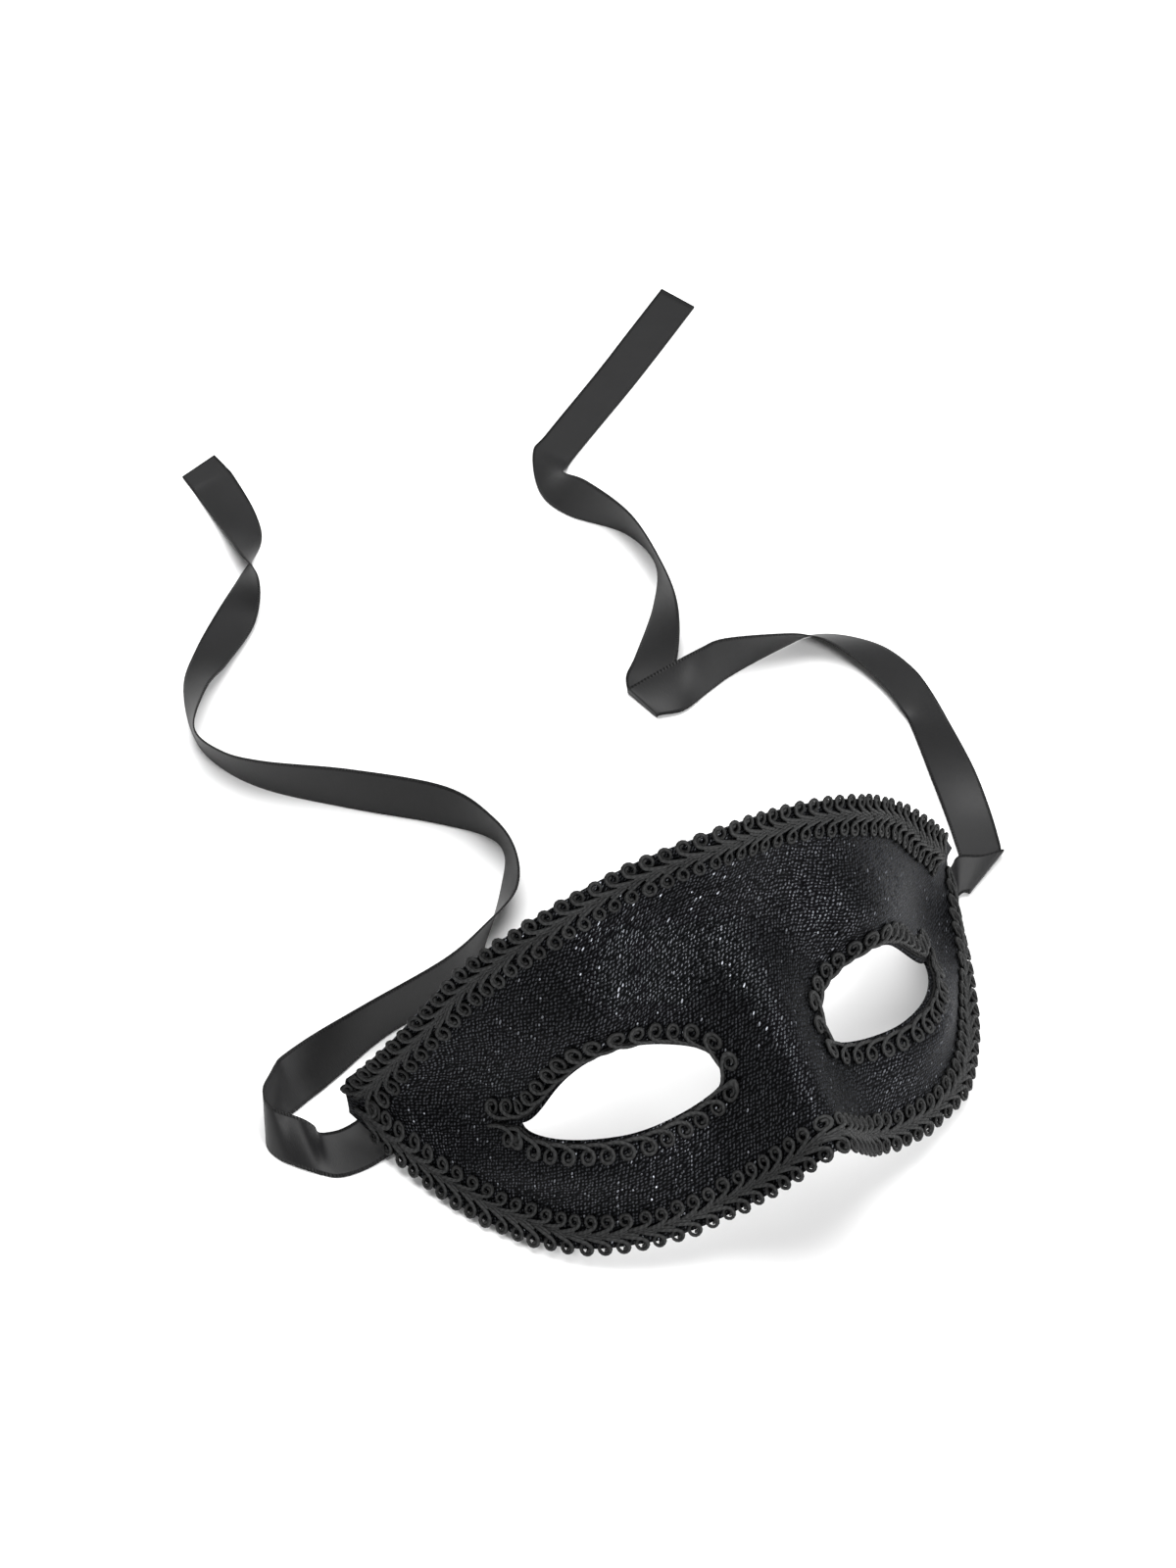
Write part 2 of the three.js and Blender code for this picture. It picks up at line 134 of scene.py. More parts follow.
RIGHT_RIBBON = np.array([
    [70, 28, 16, 66, 19, 14],
    [77.5, 31.5, 11, 73, 21.5, 9],
    [85, 37.5, 6.2, 79.5, 25.5, 3.2],
    [92.5, 41.5, 4.6, 86.5, 29.5, 1.4],
    [97, 44.5, 4, 90, 33.5, 1.2],
    [102.5, 42, 3.9, 92, 34, 1.7],
    [108.3, 41.6, 3.4, 93.2, 33.6, 1.6],
    [109.5, 41.5, 3.2, 93.5, 33.5, 1.6],
    [109.8, 42.2, 1.3, 93.9, 34, 0.4],
    [110.1, 43.2, 1.1, 94.4, 35.3, 0.4],
    [111.5, 46, 0.7, 96.5, 40, 0.4],
    [115.5, 57, 1.2, 102.5, 57.5, 0.4],
    [118, 69.5, 5, 108.5, 77.5, 0.4],
    [121, 86.5, 6, 114, 96.5, 0.4],
    [126.5, 106.5, 1.5, 114.5, 103.5, 1.8],
    [127.5, 118.5, 0.4, 114.5, 113.5, 2.7],
    [124.5, 130, 0.4, 112, 125, 4.5],
    [117, 139, 0.4, 107, 132.5, 7.5],
    [108.5, 143.5, 0.4, 102, 135, 9.8],
    [99, 143, 0.4, 95, 136.5, 12.2],
    [80, 139.5, 0.4, 77.5, 141, 14],
    [69.5, 136, 0.4, 69.5, 141.5, 13.2],
    [59.5, 132, 0.8, 59, 143.5, 8.5],
    [52.5, 132.8, 1.4, 49.8, 145.7, 3.3],
    [51.5, 133, 1.4, 48.5, 146, 2.6],
    [51.4, 133.5, 0.4, 48.6, 146.4, 0.9],
    [52.2, 134.5, 0.4, 48.9, 147.2, 0.6],
    [58, 141, 1.2, 51.5, 153, 0.4],
    [66.5, 149.5, 5.3, 58, 159.5, 0.4],
    [75, 165.5, 8.5, 73, 176.5, 0.4],
    [79, 183, 10, 82.5, 193, 0.4],
    [79.5, 204, 13, 81, 210, 0.4],
    [75, 224, 13, 69.5, 225.5, 0.4],
    [73.5, 236.5, 8, 66.5, 239.5, 0.4],
    [79, 245.5, 1.5, 73, 258, 0.4],
    [86.5, 252, 0.7, 81.5, 265, 0.4],
    [117, 274, 0.4, 110, 286, 0.4],
    [139, 290.5, 0.4, 129.5, 301, 0.4],
    [156, 303.5, 0.4, 151, 317.5, 0.4],
])
RIBBON = {"width": 14, "thickness": 0.45, "selvage": 0.9, "steps_per_row": 9, "across": 12, "lowest": 0.12}

# Worked loops of cord, in the flat beside the row's core: the round head, the foot of the stem and its bends
EDGE_LOOP = {
    "head": 3.3, "wide": 2.85, "tall": 3.1, "meets": -120,
    "foot": (5.3, 0.3), "lead": (-1.9, 0.25), "swing": 1.5, "core": (0.0, 0.0, 0.5),
}
EYE_LOOP = {
    "head": 3.15, "wide": 2.9, "tall": 3.4, "meets": -140,
    "foot": (6.0, 0.8), "lead": (-1.9, -0.75), "swing": 2.5, "core": (0.0, -0.15, 0.1),
}
LOOP_STEPS = {"stem": 6, "head": 20}
LOOP_CURL = {"turn": 530, "starts": 0.55, "closes_by": 0.68, "power": 0.8}

# Height of the cord and share of its thickness, by the share of the way along the stem and round the head
STEM_HEIGHT = ([0, 0.45, 1], [0.5, 1.2, 1.05])
STEM_THICKNESS = ([0, 0.3, 1], [0.9, 1.2, 1.15])
HEAD_HEIGHT = ([0, 0.1, 0.2, 0.5, 0.64, 1], [1.05, 0.85, 0.6, 0.55, 0.38, 0.6])
HEAD_THICKNESS = ([0, 0.15, 0.5, 0.7, 1], [1.15, 1, 1, 0.85, 0.6])
SECOND_STRAND = {"beside": (0.15, -0.72), "lower": 0.3, "thickness": 0.85}

# The braids: where they lie beside their paths, where they end, and how much one loop differs from the next
LOWER_END = 88
UPPER_END = 85
BAND_MIDDLE = 4.8
FIRST_LOOP = 2.0
RIM_GAP = 0.15
BRAID_HEIGHT = 1.7
BRAID_LOWEST = 0.05
CORD = {"Cord Radius": 0.47, "Sides": 6, "Turn": 0.08, "Spread": 0.04}
BRAID_SEEDS = {"edge": 10, "eye": 20}

# Finishes: the knit's stitches in millimetres and how far they stray, and the lengths of what repeats
KNIT = {"row": 0.9, "stitch": 1.0, "half_length": 0.46, "half_width": 0.25, "lean": 0.6}
KNIT_STRAY = {"place": 0.4, "lean": 0.9, "rows": 2.0, "scale": 0.25}
KNIT_SPARKS_OVER = 0.55
KNIT_TINT = (0.96, 1.0, 1.1)
CORD_TINT = (0.99, 1.01, 1.02)
SATIN_TINT = (1, 1, 1.08)
SPARK_GREY = 0.24
GREYS = {
    "knit": (0.001, 0.068), "cord": (0.001, 0.032), "satin": (0.002, 0.008), "lining": (0.008, 0.022),
    "floor": (0.88, 0.9),
}
RELIEF_DEPTH = {"knit": 0.05, "cord": 0.12, "satin": 0.12, "lining": 0.1}
PLY_TURNS = 4.2
PICOT_LENGTH = 0.85
LINING_WEAVE = 7.0

# Camera, from the same fit: where it stands and where it looks, in millimetres of the same frame
CAMERA_PLACE = (-244.7, -396.7, 583.9)
CAMERA_AIM = (0.3221, 0.6298, -0.7068)
CAMERA_LENS = 67.5
SENSOR_WIDTH = 36
NEAREST_SEEN = 0.01

# Soft lamps in metres: name, place, width and power
LAMPS = [
    ("overhead", (0.1, 0.35, 1.4), 1.5, 33),
    ("front", (0.18, -1.0, 0.8), 0.4, 13),
    ("front right", (0.91, -0.88, 0.27), 0.35, 4.5),
]
LAMP_AIM = Vector((0, 0.05, 0.03))
WORLD_LIGHT = 0.32
FLOOR_HALF = 3000


# Shape of the face

def station(column, x):
    """Smooth curve of one column through the stations, level at the middle of the mask."""
    rows = np.vstack([STATIONS[1], STATIONS, 2 * STATIONS[-1] - STATIONS[-2]])
    rows[0, 0] *= -1
    at, value = rows[:, 0], rows[:, column]
    slope = (value[2:] - value[:-2]) / (at[2:] - at[:-2])
    d = np.minimum(np.abs(x), HALF_WIDTH)
    i = np.clip(np.searchsorted(STATIONS[:, 0], d, side="right") - 1, 0, len(STATIONS) - 2)
    h = at[i + 2] - at[i + 1]
    f = (d - at[i + 1]) / h
    return ((2 * f**3 - 3 * f**2 + 1) * value[i + 1] + (f**3 - 2 * f**2 + f) * h * slope[i]
            + (3 * f**2 - 2 * f**3) * value[i + 2] + (f**3 - f**2) * h * slope[i + 1])


def face(x, t):
    """Outer face of the shell: x across, t = 0 at the cheek edge and 1 at the forehead edge."""
    arch = NOSE_ARCH["height"] * np.exp(-((np.abs(x) / NOSE_ARCH["width"]) ** NOSE_ARCH["power"]))
    low_y = station(3, x)
    low_z = station(4, x) + arch
    rise_y = station(1, x) - low_y
    rise_z = station(2, x) - low_z
    length = np.hypot(rise_y, rise_z)
    swell = -HOLLOW * 4 * t * (1 - t) * (1 - (x / HALF_WIDTH) ** 2)
    for r in RELIEF:
        away = ((np.abs(x) - r["x"]) / r["spread_x"]) ** 2 + ((t - r["t"]) / r["spread_t"]) ** 2
        swell = swell + r["height"] * np.exp(-away)
    return np.stack([
        x + 0 * t,
        low_y + t * rise_y - swell * rise_z / length + FRAME_SHIFT_Y,
        low_z + t * rise_z + swell * rise_y / length + REST_LIFT,
    ], axis=-1)


def unit(v):
    """Vectors at length 1."""
    return v / np.linalg.norm(v, axis=-1, keepdims=True)


def face_axes(x, t):
    """How the face runs with x and with t, and its outward normal."""
    step_x, step_t = 0.05, 0.005
    along_x = (face(x + step_x, t) - face(x - step_x, t)) / (2 * step_x)
    along_t = (face(x, t + step_t) - face(x, t - step_t)) / (2 * step_t)
    return along_x, along_t, unit(np.cross(along_x, along_t))


def lifted(x, t, lift):
    """Points a height above the face."""
    return face(x, t) + face_axes(x, t)[2] * np.asarray(lift)[..., None]


def sideways(x, t, heading, distance):
    """Walk a distance over the face from a point of it, square to a heading."""
    walks = 3
    for _ in range(walks):
        along_x, along_t, normal = face_axes(x, t)
        step = unit(np.cross(normal, heading)) * (distance / walks)[..., None]
        a = (along_x * along_x).sum(-1)
        b = (along_x * along_t).sum(-1)
        c = (along_t * along_t).sum(-1)
        u = (along_x * step).sum(-1)
        v = (along_t * step).sum(-1)
        det = a * c - b * b
        x = x + (u * c - v * b) / det
        t = t + (v * a - u * b) / det
    return x, t


def eye_rim(angle):
    """Edge of the eye opening on the +X side, from the temple over the top."""
    c, s = np.cos(angle), np.abs(np.sin(angle))
    axis = EYE["axis"] + EYE["slope"] * EYE["half_length"] * c
    above = axis + EYE["rise"] * s ** (EYE["arch_power"] + EYE["arch_change"] * c)
    below = axis - EYE["drop"] * s ** EYE["drop_power"]
    return EYE["x"] + EYE["half_length"] * c, np.where(np.sin(angle) >= 0, above, below)


def eye_path(share):
    """From the tail at the temple, over the top to the nose, and back below to the tail."""
    corner_x, corner_t = eye_rim(np.array(0.0))
    tail, split = EYE_TAIL["share"], EYE_TAIL["split"]
    angle = WHOLE_TURN * np.clip((share - tail) / (1 - 2 * tail), 0, 1)
    x, t = eye_rim(angle)
    t = t + split * np.cos(angle / 2)
    f = 1 - np.minimum(share, 1 - share) / tail
    on_tail = f > 0
    side = np.where(share < 0.5, split, -split) * (1 - EYE_TAIL["closes_by"] * np.maximum(f, 0))
    x = np.where(on_tail, corner_x + EYE_TAIL["reach"] * f, x)
    t = np.where(on_tail, corner_t + EYE_TAIL["rise"] * f + side, t)
    return x, t


def upper_path(share):
    """Along the forehead edge, towards +X."""
    return -HALF_WIDTH + (HALF_WIDTH + UPPER_END) * share, 1 + 0 * share


def lower_path(share):
    """Along the cheek edge, towards +X."""
    return -LOWER_END + 2 * LOWER_END * share, 0 * share


class Course:
    """A path over the face, known by its running length."""

    def __init__(self, path):
        fine = 1200
        shares = np.arange(fine + 1) / fine
        points = face(*path(shares))
        steps = np.diff(points, axis=0)
        self.path = path
        self.shares = shares
        self.run = np.concatenate([[0], np.cumsum(np.linalg.norm(steps, axis=1))])
        self.headings = unit(steps)
        self.length = self.run[-1]

    def at(self, run):
        """Point of the path in (x, t) and its heading, also a little past either end."""
        share = np.interp(run, self.run, self.shares)
        past = (run - np.clip(run, 0, self.length)) / self.length
        middles = (self.run[1:] + self.run[:-1]) / 2
        heading = np.stack([np.interp(run, middles, self.headings[:, k]) for k in range(3)], axis=-1)
        x, t = self.path(share + past)
        return x, t, unit(heading)


# Node trees

class Term:
    """A socket of a node tree, so that its maths is written as plain expressions."""

    def __init__(self, graph, socket):
        self.graph = graph
        self.socket = socket

    def math(self, operation, *others, clamp=False):
        values = {i: value for i, value in enumerate((self, *others))}
        return self.graph.node("ShaderNodeMath", {"operation": operation, "use_clamp": clamp}, values)

    def __add__(self, other):
        return self.math("ADD", other)

    __radd__ = __add__

    def __sub__(self, other):
        return self.math("SUBTRACT", other)

    def __rsub__(self, other):
        return self.graph.node("ShaderNodeMath", {"operation": "SUBTRACT"}, {0: other, 1: self})

    def __mul__(self, other):
        return self.math("MULTIPLY", other)

    __rmul__ = __mul__

    def __truediv__(self, other):
        return self.math("DIVIDE", other)

    def __pow__(self, other):
        return self.math("POWER", other)

    def __mod__(self, other):
        return self.math("FLOORED_MODULO", other)

    def __gt__(self, other):
        return self.math("GREATER_THAN", other)

    def floor(self):
        return self.math("FLOOR")

    def size(self):
        return self.math("ABSOLUTE")

    def root(self):
        return self.math("SQRT")

    def sine(self):
        return self.math("SINE")

    def cosine(self):
        return self.math("COSINE")

    def held(self):
        """Kept between 0 and 1."""
        return self.math("ADD", 0, clamp=True)


class Graph:
    """Makes the nodes of one tree."""

    def __init__(self, tree):
        self.tree = tree

    def node(self, kind, settings=None, values=None, output=0):
        """One node: its settings first, then the values or links of its sockets."""
        node = self.tree.nodes.new(kind)
        for name, value in (settings or {}).items():
            setattr(node, name, value)
        for key, value in (values or {}).items():
            if isinstance(value, Term):
                self.tree.links.new(value.socket, node.inputs[key])
            else:
                node.inputs[key].default_value = value
        return Term(self, node.outputs[output]) if len(node.outputs) else node

    def vector(self, operation, *values, **named):
        """Vector maths on vectors, or on a vector and its Scale."""
        sockets = {**dict(enumerate(values)), **named}
        return self.node("ShaderNodeVectorMath", {"operation": operation}, sockets)

    def attribute(self, name, output="Fac"):
        return self.node("ShaderNodeAttribute", {"attribute_name": name}, output=output)

    def split(self, vector):
        apart = self.node("ShaderNodeSeparateXYZ", {}, {0: vector})
        return [Term(self, apart.socket.node.outputs[k]) for k in range(3)]

    def join(self, x=0.0, y=0.0, z=0.0):
        return self.node("ShaderNodeCombineXYZ", {}, {0: x, 1: y, 2: z})

    def blend(self, factor, low, high):
        """Colour between two others."""
        settings = {"data_type": "RGBA", "clamp_factor": True}
        return self.node("ShaderNodeMix", settings, {0: factor, 6: low, 7: high}, 2)

    def chances(self, vector):
        """Three random numbers from 0 to 1 for each whole place."""
        settings = {"noise_dimensions": "3D"}
        return self.split(self.node("ShaderNodeTexWhiteNoise", settings, {"Vector": vector}, "Color"))

    def noise(self, vector, scale=1.0, detail=3.0):
        values = {"Vector": vector, "Scale": scale, "Detail": detail}
        return self.node("ShaderNodeTexNoise", {}, values)

    def bump(self, height, depth, normal=None):
        """Normal over a relief of a depth in millimetres."""
        values = {"Height": height, "Distance": depth * MM}
        if normal is not None:
            values["Normal"] = normal
        return self.node("ShaderNodeBump", {}, values)


def colour(level, tint=(1.0, 1.0, 1.0)):
    """A grey of a level from 0 to 1, tinted."""
    return (level * tint[0], level * tint[1], level * tint[2], 1.0)


def greys(g, factor, finish, tint=(1.0, 1.0, 1.0)):
    """Between the darkest and the lightest grey of a finish."""
    low, high = GREYS[finish]
    return g.blend(factor, colour(low, tint), colour(high, tint))


def material(name, build):
    """A material from the function that gives its finish."""
    made = bpy.data.materials.new(name)
    made.use_nodes = True
    made.node_tree.nodes.clear()
    graph = Graph(made.node_tree)
    shader = graph.node("ShaderNodeBsdfPrincipled", {}, build(graph))
    graph.node("ShaderNodeOutputMaterial", {}, {"Surface": shader})
    return made


# Materials

def knit_look(g):
    """Fine dark knit: short slanting stitches, each with its own turn to the light, a few sparkling."""
    u, v, _ = g.split(g.attribute("cloth", "Vector"))
    coarse = g.join(u * KNIT_STRAY["scale"], v * KNIT_STRAY["scale"], 0.0)
    wander = g.noise(coarse) * KNIT_STRAY["rows"]
    high = v / KNIT["row"] + wander
    row = high.floor()
    along = u / KNIT["stitch"] + row % 2 * 0.5 + wander
    column = along.floor()
    luck, other, third = g.chances(g.join(column, row, 0.0))
    x = along - column - 0.5 + (luck - 0.5) * KNIT_STRAY["place"]
    y = high - row - 0.5 + (other - 0.5) * KNIT_STRAY["place"]
    lean = KNIT["lean"] + (third - 0.5) * KNIT_STRAY["lean"]
    lengthwise = x * lean.cosine() + y * lean.sine()
    crosswise = y * lean.cosine() - x * lean.sine()
    away = (lengthwise / KNIT["half_length"]) ** 2.0 + (crosswise / KNIT["half_width"]) ** 2.0
    crest = (1.0 - away).held()
    face_on = crest.root()
    spark = face_on * (luck * other * third > KNIT_SPARKS_OVER)
    dullest = 0.3
    bright = face_on * (dullest + (1 - dullest) * third)
    base = greys(g, bright, "knit", KNIT_TINT)
    spread = g.vector("SUBTRACT", g.join(luck, other, third), (0.5, 0.5, 0.5))
    least_tilt, more_tilt, rareness = 0.3, 0.5, 3.0
    tilt = g.vector("SCALE", spread, Scale=least_tilt + more_tilt * other**rareness)
    level = g.node("ShaderNodeNewGeometry", {}, {}, "Normal")
    turned = g.vector("NORMALIZE", g.vector("ADD", level, tilt))
    return {
        "Base Color": g.blend(spark, base, colour(SPARK_GREY, KNIT_TINT)),
        "Roughness": 0.6 - 0.33 * face_on,
        "Metallic": face_on * 0.85,
        "Specular IOR Level": 0.1,
        "Specular Tint": colour(0.35, KNIT_TINT),
        "Normal": g.bump(crest, RELIEF_DEPTH["knit"], normal=turned),
    }


def cord_look(g):
    """Twisted braid cord: plies run round it, lint dulls it, and painted shade darkens it down between the
    loops.
    """
    along = g.attribute("along")
    around = g.attribute("around")
    shade = g.attribute("shade")
    rise = g.attribute("rise")
    plies = (along * PLY_TURNS + around * WHOLE_TURN).sine()
    fibres_along, fibres_around, loops_apart = 3.0, 9.0, 50.0
    fibre = g.noise(g.join(along * fibres_along, around * fibres_around, shade * loops_apart))
    worn = (0.5 + plies * 0.16 + (fibre - 0.5) * 0.5 + (shade - 0.5) * 0.15).held()
    # Painted shade: the colour goes dark where the cord lies low over the shell, down between the loops.
    tone = worn * (rise * 3.2 - 1.15).held()
    return {
        "Base Color": greys(g, tone, "cord", CORD_TINT),
        "Roughness": 0.55 + 0.2 * fibre,
        "Specular IOR Level": 0.25,
        "Normal": g.bump(plies * 0.5 + fibre * 0.6, RELIEF_DEPTH["cord"]),
    }


def satin_look(g):
    """Satin ribbon: a soft gloss, fine crosswise threads, and a denser woven selvage on either side."""
    along, across, _ = g.split(g.attribute("cloth", "Vector"))
    selvage = across.size() > RIBBON["width"] / 2 - RIBBON["selvage"]
    picots = (along * (WHOLE_TURN / PICOT_LENGTH)).sine() * selvage
    threads_along, threads_across, clouds = 5.0, 0.5, 0.1
    weft = g.noise(g.join(along * threads_along, across * threads_across, 0.0))
    cloud = g.noise(g.join(along * clouds, across * clouds, 3.0), detail=2.0)
    tone = (0.5 + (weft - 0.5) * 0.5 + (cloud - 0.5) * 0.5 - picots * 0.25 - selvage * 0.3).held()
    return {
        "Base Color": greys(g, tone, "satin", SATIN_TINT),
        "Roughness": 0.45 + 0.1 * weft + 0.06 * selvage,
        "Specular IOR Level": 0.3,
        "Normal": g.bump(weft * 0.4 + picots * 0.9 + selvage * 0.4, RELIEF_DEPTH["satin"]),
    }


def lining_look(g):
    """Plain dull lining inside the shell."""
    u, v, _ = g.split(g.attribute("cloth", "Vector"))
    weave = (u * LINING_WEAVE).sine() * (v * LINING_WEAVE).sine()
    clouds = 0.2
    cloud = g.noise(g.join(u * clouds, v * clouds, 0.0))
    tone = (0.4 + weave * 0.2 + (cloud - 0.5) * 0.6).held()
    return {
        "Base Color": greys(g, tone, "lining"),
        "Roughness": 0.85 - 0.1 * tone,
        "Specular IOR Level": 0.25,
        "Normal": g.bump(weave, RELIEF_DEPTH["lining"]),
    }


def floor_look(g):
    """Plain pale table."""
    place = g.node("ShaderNodeTexCoord", {}, {}, "Object")
    cloud = g.noise(place, scale=3.0, detail=2.0)
    return {
        "Base Color": greys(g, cloud, "floor"),
        "Roughness": 0.7 + 0.05 * cloud,
        "Specular IOR Level": 0.2,
    }


# Meshes

def piece(name, points, faces, materials, attributes=None, picks=None):
    """A smooth mesh object from points in millimetres."""
    mesh = bpy.data.meshes.new(name)
    mesh.from_pydata((np.asarray(points) * MM).tolist(), [], [list(map(int, f)) for f in faces])
    for made in materials:
        mesh.materials.append(made)
    if picks is not None:
        mesh.polygons.foreach_set("material_index", np.asarray(picks, dtype=np.int32))
    for key, values in (attributes or {}).items():
        layer = mesh.attributes.new(key, "FLOAT_VECTOR", "POINT")
        layer.data.foreach_set("vector", np.asarray(values, dtype=np.float32).ravel())
    mesh.shade_smooth()
    made = bpy.data.objects.new(name, mesh)
    bpy.context.scene.collection.objects.link(made)
    return made


def settle(made, slot, *nodes):
    """The piece rides on the mask and stands for solids of it."""
    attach(made, "root")
    if nodes:
        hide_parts(*nodes)


# Ribbons

def curve_points(rows, steps):
    """Points of a smooth curve through rows, evenly placed between each two of them."""
    around = np.vstack([2 * rows[0] - rows[1], rows, 2 * rows[-1] - rows[-2]])
    spans = len(rows) - 1
    place = np.arange(spans * steps + 1) / steps
    i = np.minimum(place.astype(int), spans - 1)
    f = (place - i)[:, None]
    before, p, q, after = (around[i + k] for k in range(4))
    start, stop = (q - before) / 2, (after - p) / 2
    return (2 * p - 2 * q + start + stop) * f**3 + (3 * q - 3 * p - 2 * start - stop) * f**2 + start * f + p


def ribbon(name, rows, satin):
    """A thin flat strip between its two selvages, along the route of its tie."""
    shift = np.array([0, FRAME_SHIFT_Y, 0])
    a = curve_points(rows[:, :3] + shift, RIBBON["steps_per_row"])
    b = curve_points(rows[:, 3:] + shift, RIBBON["steps_per_row"])
    flat = unit(np.cross(b[1:] - a[:-1], a[1:] - b[:-1]))
    normal = unit(np.vstack([flat[:1], flat]) + np.vstack([flat, flat[-1:]]))
    middle = (a + b) / 2
    run = np.concatenate([[0], np.cumsum(np.linalg.norm(np.diff(middle, axis=0), axis=1))])
    half = RIBBON["thickness"] / 2
    across = RIBBON["across"]
    shares = np.arange(across + 1) / across
    top = [(s, 1.0) for s in shares]
    bottom = [(s, -1.0) for s in shares[::-1]]
    section = top + bottom
    points, cloth = [], []
    for share, up in section:
        points.append(a + (b - a) * share + normal * half * up)
        width = np.full(len(run), (share - 0.5) * RIBBON["width"])
        cloth.append(np.stack([run, width, np.full(len(run), up)], axis=-1))
    points = np.stack(points, axis=1)
    points[..., 2] = np.maximum(points[..., 2], RIBBON["lowest"])
    cloth = np.stack(cloth, axis=1)
    rings, sides = points.shape[:2]
    index = np.arange(rings * sides).reshape(rings, sides)
    faces = []
    for k in range(sides):
        n = (k + 1) % sides
        faces += np.stack([index[:-1, k], index[1:, k], index[1:, n], index[:-1, n]], axis=-1).tolist()
    for ring, turn in ((index[0], 1), (index[-1], -1)):
        pairs = [(ring[k], ring[k + 1], ring[sides - 2 - k], ring[sides - 1 - k]) for k in range(across)]
        faces += [pair[::turn] for pair in pairs]
    made = piece(name, points.reshape(-1, 3), faces, [satin], {"cloth": cloth.reshape(-1, 3)})
    settle(made, "satin_ribbon", name.replace("_tie", "_ribbon"))
    (middle[0] * MM).tolist()
    (middle * MM).tolist()


# Shell

def cloth_places(x, t):
    """Distances over the cloth from the middle of the mask, along the rows and up them."""
    column_count, row_count, short_of_last = 241, 61, 1.001
    columns = np.linspace(-HALF_WIDTH, HALF_WIDTH, column_count)
    rows = np.linspace(0, 1, row_count)
    grid = face(columns[:, None], rows[None, :])
    runs_x = np.linalg.norm(np.diff(grid, axis=0), axis=-1).cumsum(0)
    runs_x = np.vstack([0 * runs_x[:1], runs_x])
    runs_x -= runs_x[column_count // 2]
    runs_t = np.linalg.norm(np.diff(grid, axis=1), axis=-1).cumsum(1)
    runs_t = np.hstack([0 * runs_t[:, :1], runs_t])
    runs_t -= runs_t[:, row_count // 2][:, None]
    i = np.clip((x + HALF_WIDTH) / (columns[1] - columns[0]), 0, column_count - short_of_last)
    j = np.clip(t / rows[1], 0, row_count - short_of_last)
    i0, j0 = i.astype(int), j.astype(int)
    fi, fj = i - i0, j - j0
    out = []
    for table in (runs_x, runs_t):
        low = table[i0, j0] * (1 - fi) + table[i0 + 1, j0] * fi
        high = table[i0, j0 + 1] * (1 - fi) + table[i0 + 1, j0 + 1] * fi
        out.append(low * (1 - fj) + high * fj)
    return np.stack([*out, 0 * out[0]], axis=-1)


def face_height(x):
    """Straight distance from the cheek edge to the forehead edge."""
    return np.linalg.norm(face(x, 1 + 0 * x) - face(x, 0 * x), axis=-1)


def eye_outline():
    """Points round the eye opening on the +X side, the last one back on the first."""
    return eye_rim(np.linspace(0, WHOLE_TURN, OUTLINE_POINTS["eye"]))


def shell_outlines():
    """Closed outlines in the pattern (x, t): the edge anticlockwise, then the two eye holes."""
    end = HALF_WIDTH - TIP_INSET
    wide = np.linspace(-end, end, OUTLINE_POINTS["edge"])
    margin = SHELL_INSET / face_height(wide)
    tall = np.linspace(margin[-1], 1 - margin[-1], OUTLINE_POINTS["tip"])[1:-1]
    edge = np.vstack([
        np.stack([wide, margin], axis=-1),
        np.stack([0 * tall + end, tall], axis=-1),
        np.stack([wide[::-1], 1 - margin], axis=-1),
        np.stack([0 * tall - end, tall[::-1]], axis=-1),
    ])
    right = np.stack(eye_outline(), axis=-1)[:-1]
    return [edge, right, right * [-1, 1]]


def inside(points, outline):
    """Which points lie inside a closed outline."""
    a, b = outline, np.roll(outline, -1, axis=0)
    x, t = points[:, :1], points[:, 1:]
    crosses = (a[:, 1] > t) != (b[:, 1] > t)
    rise = np.where(b[:, 1] == a[:, 1], 1, b[:, 1] - a[:, 1])
    at = a[:, 0] + (t - a[:, 1]) / rise * (b[:, 0] - a[:, 0])
    return (crosses & (x < at)).sum(1) % 2 == 1


def shell_pattern():
    """Flat triangles of the shell with its eye holes, in the pattern (x, t)."""
    outlines = shell_outlines()
    step_x, step_t = PATTERN["step"], 1 / PATTERN["rows"]
    scale = np.array([1, PATTERN["height"]])
    grid = []
    for k, t in enumerate(np.arange(step_t, 1 - step_t / 2, step_t)):
        first = -HALF_WIDTH + step_x * (PATTERN["first"] + PATTERN["stagger"] * (k % 2))
        x = np.arange(first, HALF_WIDTH - step_x / 2, step_x)
        grid.append(np.stack([x, 0 * x + t], axis=-1))
    grid = np.vstack(grid)
    for which, outline in enumerate(outlines):
        near = np.min(np.linalg.norm((grid[:, None] - outline[None]) * scale, axis=-1), axis=1)
        grid = grid[(inside(grid, outline) == (which == 0)) & (near > PATTERN["clear"])]
    points = np.vstack([*outlines, grid])
    edges, start = [], 0
    for outline in outlines:
        n = len(outline)
        edges += [(start + k, start + (k + 1) % n) for k in range(n)]
        start += n
    flat = [Vector((x, t)) for x, t in (points * scale)]
    within_outlines = 1
    verts, _, faces, *_ = delaunay_2d_cdt(flat, edges, [], within_outlines, PATTERN["merge"], False)
    verts = np.array(verts) / scale
    faces = np.array(faces)
    middles = verts[faces].mean(1)
    for which, outline in enumerate(outlines):
        keep = inside(middles, outline) == (which == 0)
        faces, middles = faces[keep], middles[keep]
    return verts, faces, [len(outline) for outline in outlines]


